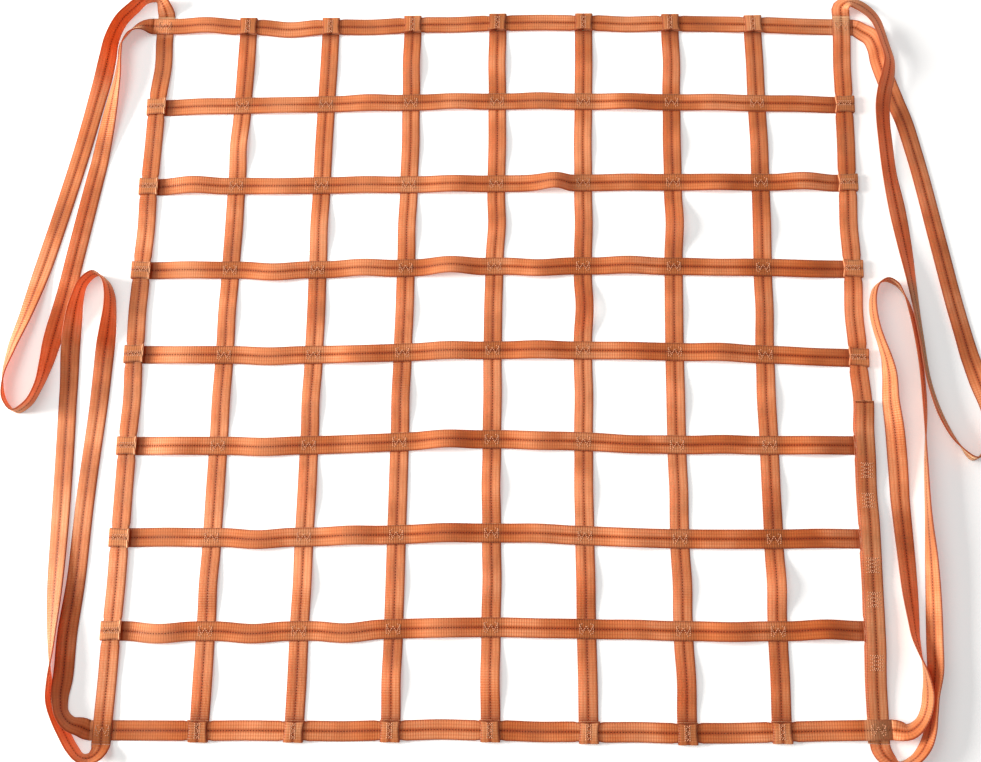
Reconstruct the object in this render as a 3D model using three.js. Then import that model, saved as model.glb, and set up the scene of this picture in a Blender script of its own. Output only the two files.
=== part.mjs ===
// Cargo lifting net of flat polyester webbing, laid out on the floor.
// Length and cross webbings are sewn to each other and wrapped round a rim webbing.
// The rim runs on at each corner into a long lifting loop, laid back beside the net.
// Millimetres, +Z up. The origin is under the middle crossing, on the floor; +Y is the far side.
import * as THREE from 'three';

// Driving dimensions
const NET_SIDE = 1000;
const CELLS = 8;
const WEB_WIDTH = 25;
const WEB_THICK = 2.2;
const PLY_GAP = 0.3;
const FLAT_REACH = 14;
const RIM_TAIL = 16.5;
const WRAP_EASE = 0.6;
const LIP_RISE = 0.9;
const LIP_LENGTH = 5;
const WRAP_STEPS = 6;
const CELL_STEPS = 5;
const LOOP_STEP = 13;

// Slack between crossings: how far the underside stands off the floor, and how far an edge tips
const ROW_LIFT = { low: 2.0, span: 4.5 };
const COLUMN_LIFT = { low: 0.4, span: 2.4 };
const RIM_LIFT = { low: 0.4, span: 2.0 };
const SLACK_TIP = 5;

// The lap of the rim webbing on the right side
const SPLICE_START = -63;
const SPLICE_SHIFT = 1.5;
const SPLICE_EASE = 0.5;

const WEBBING_COLOUR = 0xe2794a;
const WEBBING_ROUGHNESS = 0.85;

// Worked out from the driving dimensions
const PITCH = (NET_SIDE - WEB_WIDTH) / CELLS;
const HALF_GRID = (PITCH * CELLS) / 2;
const HALF_WIDTH = WEB_WIDTH / 2;
const HALF_THICK = WEB_THICK / 2;
const PLY = WEB_THICK + PLY_GAP;

// Sideways drift of the length webbings from their straight lines, rim to rim
const COLUMN_DRIFT = [
  { name: 'rim_left', bottom: -2, lower: 1, middle: 1, upper: 3, top: 8 },
  { name: 'col_1', bottom: -1, lower: 0.5, middle: 2, upper: 4.5, top: 8 },
  { name: 'col_2', bottom: -2, lower: 0, middle: 2, upper: 2.5, top: 6 },
  { name: 'col_3', bottom: -2, lower: -1, middle: 0.5, upper: 3, top: 2.5 },
  { name: 'col_4', bottom: 2, lower: 1, middle: 0, upper: 3, top: 3 },
  { name: 'col_5', bottom: 3, lower: 0, middle: -0.5, upper: 1.5, top: 4 },
  { name: 'col_6', bottom: 4, lower: 0.5, middle: 0, upper: 3.5, top: 5 },
  { name: 'col_7', bottom: -1, lower: -1, middle: -2, upper: 2, top: 0 },
  { name: 'rim_right', bottom: -5.5, lower: -2.5, middle: -2, upper: -2, top: 3 },
];

// Drift of the cross webbings, listed from the far side to the near side
const ROW_DRIFT = [
  { name: 'rim_top', left: 1, mid_left: -3, middle: 1, mid_right: -2, right: -9 },
  { name: 'row_1', left: -4.5, mid_left: -1.5, middle: 1, mid_right: -2, right: -7 },
  { name: 'row_2', left: -3, mid_left: -2.5, middle: -1, mid_right: 0, right: -1.5 },
  { name: 'row_3', left: -4, mid_left: -4, middle: 0.5, mid_right: 0, right: -4 },
  { name: 'row_4', left: -2, mid_left: -2.5, middle: 4, mid_right: 2, right: -6 },
  { name: 'row_5', left: -6, mid_left: -4.5, middle: 4.5, mid_right: -2, right: -1.5 },
  { name: 'row_6', left: -6, mid_left: -4, middle: 3, mid_right: -3, right: -1 },
  { name: 'row_7', left: -4, mid_left: -2, middle: 5, mid_right: 2.5, right: 5 },
  { name: 'rim_bottom', left: -5.5, mid_left: -3, middle: 0.5, mid_right: 0, right: 7 },
];

// Cells where a webbing bulges in its own way; cells count from the left or from the near side,
// and peak is where the bulge is highest when that is not the middle
const BULGES = [
  { name: 'rim_top', cell: 1, lift: 5, side: 2, tip: 0 },
  { name: 'rim_top', cell: 2, lift: 1, side: -3, tip: 0 },
  { name: 'row_1', cell: 3, lift: 4.5, side: 0, tip: 6 },
  { name: 'row_1', cell: 4, lift: 3, side: 1, tip: -4 },
  { name: 'row_2', cell: 5, lift: 11, side: 1, tip: -8, peak: 0.72 },
  { name: 'row_3', cell: 2, lift: 6.5, side: -4, tip: 1 },
  { name: 'row_3', cell: 3, lift: 4, side: 2, tip: -3 },
  { name: 'row_3', cell: 4, lift: 9, side: 1.5, tip: -8 },
  { name: 'row_3', cell: 5, lift: 5.5, side: -3.5, tip: -5 },
  { name: 'row_3', cell: 8, lift: 4.5, side: -1.5, tip: 1 },
  { name: 'row_4', cell: 2, lift: 2.5, side: -2, tip: 5 },
  { name: 'row_4', cell: 5, lift: 6, side: 0, tip: 6 },
  { name: 'row_5', cell: 2, lift: 5, side: -2, tip: 2 },
  { name: 'row_5', cell: 4, lift: 8, side: 1, tip: -7 },
  { name: 'row_5', cell: 5, lift: 6, side: -1.5, tip: 4 },
  { name: 'row_6', cell: 2, lift: 5, side: -3, tip: -4 },
  { name: 'row_6', cell: 4, lift: 7, side: 0.5, tip: 5 },
  { name: 'row_7', cell: 1, lift: 5.5, side: -3.5, tip: 4 },
  { name: 'row_7', cell: 2, lift: 2.5, side: -3, tip: -3 },
  { name: 'row_7', cell: 3, lift: 4, side: -3.5, tip: 3 },
  { name: 'row_7', cell: 8, lift: 7, side: 2, tip: -6 },
  { name: 'col_2', cell: 2, lift: 2, side: 1, tip: -4 },
  { name: 'col_4', cell: 6, lift: 2, side: 2, tip: -1 },
  { name: 'col_5', cell: 5, lift: 7, side: 2, tip: 9 },
  { name: 'col_6', cell: 2, lift: 1, side: 1, tip: -4 },
  { name: 'col_6', cell: 6, lift: 7, side: 1, tip: -8 },
  { name: 'col_7', cell: 2, lift: 6, side: 0, tip: -6 },
  { name: 'col_7', cell: 3, lift: 3, side: -1, tip: 4 },
  { name: 'rim_left', cell: 8, lift: 1, side: 2.5, tip: 0 },
  { name: 'rim_right', cell: 4, lift: 1, side: 3, tip: 0 },
  { name: 'rim_right', cell: 5, lift: 1, side: -1.5, tip: 0 },
];

// Routes of the four lifting loops. lean tips the left edge up, in degrees, as the route is walked;
// lift is the clear height under the lowest edge.
const LOOP_ROUTES = {
  loop_top_left: [
    { x: -482, y: 518, lean: -32, lift: 1.5 },
    { x: -493, y: 532, lean: -70, lift: 1 },
    { x: -508, y: 530, lean: -80, lift: 0.5 },
    { x: -524, y: 515, lean: -78, lift: 0 },
    { x: -541, y: 496, lean: -72, lift: 0 },
    { x: -554, y: 463, lean: -58, lift: 0 },
    { x: -558, y: 437, lean: -40, lift: 0 },
    { x: -563, y: 408, lean: -22, lift: 0 },
    { x: -571.5, y: 368, lean: -7, lift: 0 },
    { x: -583, y: 308, lean: -2, lift: 0 },
    { x: -607, y: 198, lean: 0, lift: 0 },
    { x: -626, y: 117, lean: 3, lift: 0 },
    { x: -641, y: 53, lean: 25, lift: 0 },
    { x: -655, y: 3, lean: 43, lift: 0 },
    { x: -661, y: -40, lean: 66, lift: 0 },
    { x: -654, y: -70, lean: 84, lift: 0 },
    { x: -640, y: -83, lean: 90, lift: 0 },
    { x: -624, y: -73, lean: 90, lift: 0 },
    { x: -612, y: -50, lean: 88, lift: 0 },
    { x: -604, y: -17, lean: 68, lift: 0 },
    { x: -599, y: 20, lean: 38, lift: 0 },
    { x: -590, y: 75, lean: 14, lift: 0 },
    { x: -580, y: 140, lean: 12, lift: 0 },
    { x: -567, y: 225, lean: 8, lift: 0 },
    { x: -558, y: 285, lean: -2, lift: 0 },
    { x: -551, y: 335, lean: -17, lift: 0 },
    { x: -545.5, y: 374, lean: -34, lift: 0 },
    { x: -541, y: 408, lean: -51, lift: 0 },
    { x: -540, y: 438, lean: -62, lift: 0 },
    { x: -539, y: 460, lean: -61, lift: 0 },
    { x: -528, y: 477, lean: -60, lift: 0 },
    { x: -515, y: 486, lean: -36, lift: 1 },
  ],
  loop_bottom_left: [
    { x: -490, y: -516, lean: 18, lift: 1.5 },
    { x: -499.5, y: -526.5, lean: 52, lift: 1 },
    { x: -512, y: -525.5, lean: 74, lift: 0.5 },
    { x: -523.5, y: -514.5, lean: 74, lift: 0 },
    { x: -534.5, y: -498, lean: 74, lift: 0 },
    { x: -545, y: -480.5, lean: 75, lift: 0 },
    { x: -556, y: -457, lean: 83, lift: 0 },
    { x: -560, y: -430, lean: 99, lift: 0 },
    { x: -562, y: -397, lean: 122, lift: 0 },
    { x: -564, y: -365, lean: 138, lift: 0 },
    { x: -566, y: -325, lean: 156, lift: 0 },
    { x: -568, y: -250, lean: 172, lift: 0 },
    { x: -571, y: -140, lean: 180, lift: 0 },
    { x: -574, y: -40, lean: 182, lift: 0 },
    { x: -575, y: 10, lean: 200, lift: 0 },
    { x: -573, y: 46, lean: 222, lift: 0 },
    { x: -569, y: 76, lean: 250, lift: 0 },
    { x: -562, y: 99, lean: 264, lift: 0 },
    { x: -547, y: 111, lean: 270, lift: 0 },
    { x: -532, y: 100, lean: 276, lift: 0 },
    { x: -525, y: 82, lean: 286, lift: 0 },
    { x: -523, y: 60, lean: 294, lift: 0 },
    { x: -524, y: 34, lean: 312, lift: 0 },
    { x: -527, y: 4, lean: 340, lift: 0 },
    { x: -530, y: -60, lean: 356, lift: 0 },
    { x: -538, y: -205, lean: 360, lift: 0 },
    { x: -541, y: -311, lean: 358, lift: 0 },
    { x: -545, y: -375, lean: 344, lift: 0 },
    { x: -545, y: -428, lean: 337, lift: 0 },
    { x: -544.5, y: -455, lean: 303, lift: 0 },
    { x: -540.5, y: -472.5, lean: 294, lift: 0 },
    { x: -529, y: -485, lean: 308, lift: 0 },
    { x: -516, y: -489, lean: 334, lift: 0 },
  ],
  loop_top_right: [
    { x: 490.5, y: 506.5, lean: -16, lift: 3 },
    { x: 499, y: 512.5, lean: -30, lift: 3 },
    { x: 513.5, y: 508.5, lean: -28, lift: 3 },
    { x: 527, y: 497.5, lean: -30, lift: 3.5 },
    { x: 536.5, y: 482, lean: -36, lift: 4.5 },
    { x: 541, y: 466, lean: -42, lift: 5.5 },
    { x: 546, y: 443, lean: -43, lift: 7 },
    { x: 550, y: 419, lean: -42, lift: 9 },
    { x: 546.5, y: 395, lean: -34, lift: 10 },
    { x: 541, y: 374, lean: -28, lift: 10 },
    { x: 537.5, y: 352, lean: -27, lift: 8 },
    { x: 537.5, y: 328, lean: -28, lift: 4.5 },
    { x: 539.5, y: 302, lean: -27, lift: 1.5 },
    { x: 543, y: 253, lean: -25, lift: 0 },
    { x: 550, y: 205, lean: -14, lift: 0 },
    { x: 556, y: 150, lean: -26, lift: 0 },
    { x: 561, y: 95, lean: -46, lift: 0 },
    { x: 568, y: 20, lean: -60, lift: 0 },
    { x: 575, y: -45, lean: -60, lift: 0 },
    { x: 588, y: -90, lean: -58, lift: 0 },
    { x: 605, y: -122, lean: -66, lift: 0 },
    { x: 625, y: -142, lean: -90, lift: 0 },
    { x: 645, y: -124, lean: -88, lift: 0 },
    { x: 650, y: -80, lean: -52, lift: 0 },
    { x: 640, y: -34, lean: -14, lift: 0 },
    { x: 629, y: 12, lean: 4, lift: 0 },
    { x: 618, y: 65, lean: 8, lift: 0 },
    { x: 602, y: 157, lean: 8, lift: 0 },
    { x: 578, y: 290, lean: 8, lift: 0 },
    { x: 568, y: 335, lean: 4, lift: 0 },
    { x: 557, y: 369, lean: -2, lift: 0 },
    { x: 547.5, y: 397, lean: -8, lift: 0 },
    { x: 540, y: 424, lean: -15, lift: 0 },
    { x: 536.5, y: 446, lean: -19, lift: 0 },
    { x: 530, y: 461, lean: -18, lift: 0 },
    { x: 520, y: 469.5, lean: -8, lift: 0 },
  ],
  loop_bottom_right: [
    { x: 489, y: -513, lean: -26, lift: 2 },
    { x: 503, y: -522, lean: -68, lift: 1 },
    { x: 522, y: -515, lean: -74, lift: 0 },
    { x: 536, y: -499, lean: -70, lift: 0 },
    { x: 543, y: -482, lean: -72, lift: 0 },
    { x: 547, y: -461, lean: -75, lift: 0 },
    { x: 550, y: -440, lean: -74, lift: 0 },
    { x: 555, y: -411, lean: -58, lift: 0 },
    { x: 557, y: -372, lean: -54, lift: 0 },
    { x: 559, y: -324, lean: -58, lift: 0 },
    { x: 560, y: -273, lean: -69, lift: 0 },
    { x: 560, y: -220, lean: -88, lift: 0 },
    { x: 562, y: -143, lean: -100, lift: 0 },
    { x: 566, y: -68, lean: -118, lift: 0 },
    { x: 565, y: -17, lean: -119, lift: 0 },
    { x: 562, y: 20, lean: -120, lift: 0 },
    { x: 557, y: 55, lean: -120, lift: 0 },
    { x: 550, y: 78, lean: -112, lift: 0 },
    { x: 540, y: 94, lean: -102, lift: 0 },
    { x: 527, y: 100, lean: -96, lift: 0 },
    { x: 514, y: 92, lean: -94, lift: 0 },
    { x: 508, y: 76, lean: -95, lift: 0 },
    { x: 507, y: 58, lean: -96, lift: 0 },
    { x: 510, y: 34, lean: -95, lift: 0 },
    { x: 515, y: 14, lean: -96, lift: 0 },
    { x: 520, y: -6, lean: -104, lift: 0 },
    { x: 523, y: -28, lean: -120, lift: 0 },
    { x: 523, y: -66, lean: -134, lift: 0 },
    { x: 526, y: -100, lean: -148, lift: 0 },
    { x: 528, y: -145, lean: -166, lift: 0 },
    { x: 529, y: -210, lean: -184, lift: 0 },
    { x: 531, y: -275, lean: -196, lift: 0 },
    { x: 532, y: -315, lean: -206, lift: 0 },
    { x: 533, y: -345, lean: -220, lift: 0 },
    { x: 534, y: -368, lean: -232, lift: 0 },
    { x: 538, y: -389, lean: -248, lift: 0 },
    { x: 542, y: -405, lean: -262, lift: 0 },
    { x: 544, y: -421, lean: -275, lift: 0 },
    { x: 544, y: -438, lean: -287, lift: 0 },
    { x: 541, y: -455, lean: -288, lift: 0 },
    { x: 533, y: -471, lean: -292, lift: 0 },
    { x: 518, y: -482, lean: -314, lift: 1 },
  ],
};

/** Height of a webbing's middle on a given ply, counted from the floor up. */
const plyHeight = (ply) => HALF_THICK + ply * PLY;

/** Straight line of grid webbing k, counted from the left or from the near side. */
const gridLine = (k) => k * PITCH - HALF_GRID;

/** Smooth curve through values at rising knots, straight beyond its ends. */
function smoothCurve(knots, values, ends = {}) {
  const last = knots.length - 1;
  const rate = (i) => (values[i + 1] - values[i]) / (knots[i + 1] - knots[i]);
  const slopes = values.map((_, i) => {
    if (i === 0) return ends.first ?? rate(0);
    if (i === last) return ends.last ?? rate(last - 1);
    const before = knots[i] - knots[i - 1];
    const after = knots[i + 1] - knots[i];
    return (rate(i - 1) * after + rate(i) * before) / (before + after);
  });
  return (u) => {
    if (u <= knots[0]) return values[0] + slopes[0] * (u - knots[0]);
    if (u >= knots[last]) return values[last] + slopes[last] * (u - knots[last]);
    let i = 0;
    while (u > knots[i + 1]) i += 1;
    const span = knots[i + 1] - knots[i];
    const t = (u - knots[i]) / span;
    const fall = (1 - t) * (1 - t);
    const rise = t * t;
    return (
      fall * (1 + 2 * t) * values[i] +
      rise * (3 - 2 * t) * values[i + 1] +
      span * (fall * t * slopes[i] - rise * (1 - t) * slopes[i + 1])
    );
  };
}

/** Closed flat webbing along frames that give its middle, its width direction and its face. */
function webbingGeometry(frames) {
  const corners = [[-1, -1], [1, -1], [1, 1], [-1, 1]];
  const positions = [];
  for (const { at, across, face } of frames) {
    for (const [side, level] of corners) {
      const corner = at.clone();
      corner.addScaledVector(across, side * HALF_WIDTH);
      corner.addScaledVector(face, level * HALF_THICK);
      positions.push(corner.x, corner.y, corner.z);
    }
  }
  const triangles = [0, 2, 1, 0, 3, 2];
  for (let i = 0; i < frames.length - 1; i += 1) {
    for (let k = 0; k < corners.length; k += 1) {
      const a = i * corners.length + k;
      const b = i * corners.length + ((k + 1) % corners.length);
      const c = b + corners.length;
      const d = a + corners.length;
      // Both faces fold along the same diagonal, so a twisted webbing keeps its thickness
      if (k < 2) triangles.push(a, b, c, a, c, d);
      else triangles.push(a, b, d, b, c, d);
    }
  }
  const end = (frames.length - 1) * corners.length;
  triangles.push(end, end + 1, end + 2, end, end + 2, end + 3);
  const geometry = new THREE.BufferGeometry();
  geometry.setAttribute('position', new THREE.Float32BufferAttribute(positions, 3));
  geometry.setIndex(triangles);
  geometry.computeVertexNormals();
  return geometry;
}

/** One named piece of webbing. */
function webbingMesh(name, frames) {
  const material = new THREE.MeshStandardMaterial({
    color: WEBBING_COLOUR,
    roughness: WEBBING_ROUGHNESS,
    metalness: 0,
  });
  const mesh = new THREE.Mesh(webbingGeometry(frames), material);
  mesh.name = name;
  return mesh;
}

// The grid's drift curves, the cross webbings turned to count from the near side
const driftKnots = [-HALF_GRID, -HALF_GRID / 2, 0, HALF_GRID / 2, HALF_GRID];
const columns = COLUMN_DRIFT.map((row, k) => {
  const drift = smoothCurve(driftKnots, [row.bottom, row.lower, row.middle, row.upper, row.top]);
  return { name: row.name, index: k, along: 'y', line: (u) => gridLine(k) + drift(u) };
});
const rows = [...ROW_DRIFT].reverse().map((row, k) => {
  const values = [row.left, row.mid_left, row.middle, row.mid_right, row.right];
  const drift = smoothCurve(driftKnots, values);
  return { name: row.name, index: k, along: 'x', line: (u) => gridLine(k) + drift(u) };
});

/** Slack of each cell of a webbing: an even spread, or its row in the table of bulges. */
function cellSlack(strap, range) {
  return Array.from({ length: CELLS }, (_, cell) => {
    const bulge = BULGES.find((row) => row.name === strap.name && row.cell === cell + 1);
    if (bulge) return bulge;
    const spread = 0.5 + 0.5 * Math.sin(2.4 * strap.index + 1.9 * cell);
    const sway = Math.sin(1.3 * strap.index + 2.7 * cell);
    const tip = range === RIM_LIFT ? 0 : SLACK_TIP * sway;
    return { lift: range.low + range.span * spread, side: sway, tip };
  });
}

/** Where a webbing crosses those of the other direction, along its own axis. */
function crossingsOf(strap) {
  const others = strap.along === 'x' ? columns : rows;
  return others.map((other) => other.line(strap.line(gridLine(other.index))));
}

/** Swell of a free cell, from none at both ends to all of it at the peak, a share of the cell's length. */
function cellSwell(share, peak = 0.5) {
  return Math.sin(Math.PI * share ** (Math.log(0.5) / Math.log(peak))) ** 2;
}

/** Plan line of a webbing with the sideways bulges of its cells. */
function planLine(strap, crossings, slack) {
  return (u) => {
    const cell = crossings.findIndex((start, k) => k < CELLS && u > start && u < crossings[k + 1]);
    if (cell < 0) return strap.line(u);
    const from = crossings[cell] + FLAT_REACH;
    const share = (u - from) / (crossings[cell + 1] - FLAT_REACH - from);
    if (share <= 0 || share >= 1) return strap.line(u);
    return strap.line(u) + slack[cell].side * cellSwell(share, slack[cell].peak);
  };
}

/** Stations of one free cell between two flat crossings. */
function cellStations(from, to, fromHeight, toHeight, slack) {
  const stations = [];
  const middle = (fromHeight + toHeight) / 2;
  const tipRise = HALF_WIDTH * Math.sin(Math.abs(THREE.MathUtils.degToRad(slack.tip)));
  for (let step = 1; step < CELL_STEPS; step += 1) {
    const share = step / CELL_STEPS;
    const swell = cellSwell(share, slack.peak);
    const level = THREE.MathUtils.lerp(fromHeight, toHeight, share * share * (3 - 2 * share));
    stations.push({
      u: THREE.MathUtils.lerp(from, to, share),
      z: level + (HALF_THICK + slack.lift + tipRise - middle) * swell,
      tip: slack.tip * swell,
    });
  }
  return stations;
}

/** End wrapped round the rim: the cut end lies on the rim, the webbing turns under it. */
function wrapStations(crossing, inward, flared) {
  const stations = [];
  const turn = crossing - inward * (HALF_WIDTH + WRAP_EASE);
  const lip = crossing + inward * (HALF_WIDTH + PLY_GAP);
  stations.push({ u: lip, z: plyHeight(2) + (flared ? LIP_RISE : 0), tip: 0 });
  stations.push({ u: lip - inward * LIP_LENGTH, z: plyHeight(2), tip: 0 });
  for (let step = 0; step <= WRAP_STEPS; step += 1) {
    const angle = (Math.PI * step) / WRAP_STEPS;
    const reach = PLY * Math.sin(angle);
    stations.push({ u: turn - inward * reach, z: plyHeight(1) + PLY * Math.cos(angle), tip: 0 });
  }
  return stations;
}

/** Frames of a grid webbing from its stations in the upright plane along its line. */
function stationFrames(strap, plan, stations) {
  const points = stations.map(({ u, z }) => new THREE.Vector2(u, z));
  const up = new THREE.Vector3(0, 0, 1);
  return stations.map(({ u, z, tip }, i) => {
    const before = points[Math.max(i - 1, 0)];
    const after = points[Math.min(i + 1, points.length - 1)];
    const into = points[i].clone().sub(before).normalize();
    const out = after.clone().sub(points[i]).normalize();
    const run = into.add(out).normalize();
    const slope = plan(u + HALF_THICK) - plan(u - HALF_THICK);
    const heading = new THREE.Vector3(WEB_THICK, slope, 0);
    const at = new THREE.Vector3(u, plan(u), z);
    if (strap.along === 'y') {
      heading.set(slope, WEB_THICK, 0);
      at.set(plan(u), u, z);
    }
    heading.normalize();
    const across = new THREE.Vector3().crossVectors(up, heading);
    const tangent = heading.clone().multiplyScalar(run.x).addScaledVector(up, run.y);
    across.applyAxisAngle(tangent, THREE.MathUtils.degToRad(tip));
    const face = new THREE.Vector3().crossVectors(tangent, across);
    return { at, across, face };
  });
}

/** A length or cross webbing with both ends wrapped, or a rim side with its plain tails. */
function gridWebbing(strap, plies, range, wrapped, flared = true) {
  const crossings = crossingsOf(strap);
  const slack = cellSlack(strap, range);
  const plan = planLine(strap, crossings, slack);
  const stations = [];
  crossings.forEach((crossing, k) => {
    const height = plyHeight(plies[k]);
    const first = k === 0;
    const last = k === CELLS;
    if (first && wrapped) stations.push(...wrapStations(crossing, 1, true));
    else stations.push({ u: crossing - (first ? RIM_TAIL : FLAT_REACH), z: height, tip: 0 });
    if (last && wrapped) stations.push(...wrapStations(crossing, -1, flared).reverse());
    else stations.push({ u: crossing + (last ? RIM_TAIL : FLAT_REACH), z: height, tip: 0 });
    if (last) return;
    const from = crossing + FLAT_REACH;
    const to = crossings[k + 1] - FLAT_REACH;
    stations.push(...cellStations(from, to, height, plyHeight(plies[k + 1]), slack[k]));
  });
  return webbingMesh(strap.name, stationFrames(strap, plan, stations));
}

/** The lap of the rim webbing: it rides on the right rim and on the wrapped ends there. */
function spliceWebbing() {
  const rim = columns[CELLS];
  const crossings = crossingsOf(rim);
  const slack = cellSlack(rim, RIM_LIFT);
  const rimPlan = planLine(rim, crossings, slack);
  const plan = (u) => rimPlan(u) + SPLICE_SHIFT;
  const heights = [plyHeight(1), plyHeight(3), plyHeight(3), plyHeight(3), plyHeight(3)];
  const stations = [{ u: crossings[0] - RIM_TAIL, z: heights[0], tip: 0 }];
  for (let k = 0; crossings[k] < SPLICE_START; k += 1) {
    if (k > 0) stations.push({ u: crossings[k] - FLAT_REACH, z: heights[k], tip: 0 });
    stations.push({ u: crossings[k] + FLAT_REACH, z: heights[k], tip: 0 });
    const from = crossings[k] + FLAT_REACH;
    const to = crossings[k + 1] - FLAT_REACH;
    const raised = { ...slack[k], lift: slack[k].lift + PLY + SPLICE_EASE };
    const cell = cellStations(from, to, heights[k], heights[k + 1], raised);
    stations.push(...cell.filter(({ u }) => u <= SPLICE_START));
  }
  return webbingMesh('rim_splice', stationFrames(rim, plan, stations));
}

/** End of a rim side: its place, its ply and the way that its webbing runs on outwards. */
function rimEnd(strap, side, ply, shift = 0) {
  const crossings = crossingsOf(strap);
  const u = (side > 0 ? crossings[CELLS] : crossings[0]) + side * RIM_TAIL;
  const slope = strap.line(u + HALF_THICK) - strap.line(u - HALF_THICK);
  const across = strap.line(u) + shift;
  const upright = strap.along === 'y';
  const heading = new THREE.Vector2(upright ? slope : WEB_THICK, upright ? WEB_THICK : slope);
  heading.normalize().multiplyScalar(side);
  const at = new THREE.Vector2(upright ? across : u, upright ? u : across);
  return { at: at.addScaledVector(heading, PLY_GAP), heading, lift: ply * PLY };
}

/** A lifting loop from one rim end to another, along its route. */
function loopWebbing(name, from, to) {
  const route = LOOP_ROUTES[name];
  const endLean = 180 * Math.round(route[route.length - 1].lean / 180);
  const table = [
    { x: from.at.x, y: from.at.y, lean: 0, lift: from.lift },
    ...route,
    { x: to.at.x, y: to.at.y, lean: endLean, lift: to.lift },
  ];
  const knots = [0];
  for (let i = 1; i < table.length; i += 1) {
    knots.push(knots[i - 1] + Math.hypot(table[i].x - table[i - 1].x, table[i].y - table[i - 1].y));
  }
  const column = (key, first, last) => smoothCurve(knots, table.map((row) => row[key]), { first, last });
  const xAt = column('x', from.heading.x, -to.heading.x);
  const yAt = column('y', from.heading.y, -to.heading.y);
  const leanAt = column('lean', 0, 0);
  const liftAt = column('lift', 0, 0);

  const samples = [];
  for (let i = 0; i < knots.length - 1; i += 1) {
    const steps = Math.max(1, Math.round((knots[i + 1] - knots[i]) / LOOP_STEP));
    for (let step = 0; step < steps; step += 1) {
      samples.push(THREE.MathUtils.lerp(knots[i], knots[i + 1], step / steps));
    }
  }
  samples.push(knots[knots.length - 1]);

  const leans = samples.map((u) => THREE.MathUtils.degToRad(leanAt(u)));
  const points = samples.map((u, i) => {
    const rest = HALF_WIDTH * Math.abs(Math.sin(leans[i])) + HALF_THICK * Math.abs(Math.cos(leans[i]));
    return new THREE.Vector3(xAt(u), yAt(u), rest + Math.max(liftAt(u), 0));
  });
  const up = new THREE.Vector3(0, 0, 1);
  const frames = points.map((at, i) => {
    const tangent = new THREE.Vector3();
    if (i === 0) tangent.set(from.heading.x, from.heading.y, 0);
    else if (i === points.length - 1) tangent.set(-to.heading.x, -to.heading.y, 0);
    else tangent.subVectors(points[i + 1], points[i - 1]);
    tangent.normalize();
    const across = new THREE.Vector3().crossVectors(up, tangent).normalize();
    across.applyAxisAngle(tangent, leans[i]);
    const face = new THREE.Vector3().crossVectors(tangent, across);
    return { at, across, face };
  });
  return webbingMesh(name, frames);
}

const net = new THREE.Group();
net.name = 'cargo_lifting_net';
const [rimLeft, rimRight] = [columns[0], columns[CELLS]];
const [rimBottom, rimTop] = [rows[0], rows[CELLS]];
const innerPlies = (first, inner, last) => [first, ...Array(CELLS - 1).fill(inner), last];

// Length webbings lie on the floor; cross webbings ride over them and dip under the rim
for (const strap of columns.slice(1, CELLS)) {
  net.add(gridWebbing(strap, innerPlies(0, 0, 0), COLUMN_LIFT, true));
}
for (const strap of rows.slice(1, CELLS)) {
  const underSplice = gridLine(strap.index) < SPLICE_START;
  net.add(gridWebbing(strap, innerPlies(0, 1, 0), ROW_LIFT, true, !underSplice));
}

// Rim sides lie between the two plies of each wrapped end
net.add(gridWebbing(rimLeft, innerPlies(1, 1, 0), RIM_LIFT, false));
net.add(gridWebbing(rimRight, innerPlies(0, 1, 1), RIM_LIFT, false));
net.add(gridWebbing(rimBottom, innerPlies(0, 1, 2), RIM_LIFT, false));
net.add(gridWebbing(rimTop, innerPlies(1, 1, 0), RIM_LIFT, false));
net.add(spliceWebbing());

// Lifting loops run on from one rim side and come back into the next
net.add(loopWebbing('loop_top_left', rimEnd(rimLeft, 1, 0), rimEnd(rimTop, -1, 1)));
net.add(loopWebbing('loop_bottom_left', rimEnd(rimLeft, -1, 1), rimEnd(rimBottom, -1, 0)));
net.add(loopWebbing('loop_top_right', rimEnd(rimRight, 1, 1), rimEnd(rimTop, 1, 0)));
net.add(loopWebbing('loop_bottom_right', rimEnd(rimRight, -1, 1, SPLICE_SHIFT), rimEnd(rimBottom, 1, 2)));

export default net;
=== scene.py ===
"""Cargo lifting net of sewn orange webbing, laid out on a pale floor."""

import math

import bpy
import numpy as np
from mathutils import Matrix, Vector


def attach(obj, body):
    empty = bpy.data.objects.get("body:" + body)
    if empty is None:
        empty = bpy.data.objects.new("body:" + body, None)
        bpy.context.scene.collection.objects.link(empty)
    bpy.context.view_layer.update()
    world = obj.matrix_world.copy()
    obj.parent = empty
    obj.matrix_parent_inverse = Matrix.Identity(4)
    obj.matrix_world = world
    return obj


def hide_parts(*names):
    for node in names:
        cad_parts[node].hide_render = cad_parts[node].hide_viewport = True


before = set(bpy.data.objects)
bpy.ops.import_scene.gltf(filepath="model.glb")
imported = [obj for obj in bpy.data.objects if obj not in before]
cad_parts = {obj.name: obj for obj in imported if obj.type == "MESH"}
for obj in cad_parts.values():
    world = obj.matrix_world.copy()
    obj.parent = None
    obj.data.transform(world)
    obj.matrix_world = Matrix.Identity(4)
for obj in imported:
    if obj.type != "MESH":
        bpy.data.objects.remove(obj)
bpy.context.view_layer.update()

bl_info = {
    "name": "Cargo lifting net",
    "version": (1, 0, 0),
    "blender": (4, 5, 0),
    "location": "3D View > Sidebar > Cargo Net",
    "description": "Builds the webbing, the sewing and the stage of a cargo lifting net",
    "category": "Object",
}

MM = 0.001
CELLS = 8
NET_SIDE = 1000.0
WEB_WIDTH = 25.0
UP = Vector((0, 0, 1))

# How far the flat part of a webbing reaches from the middle of a crossing, and the rim past a corner
FLAT_REACH = 14.0
RIM_TAIL = 16.5

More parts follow.
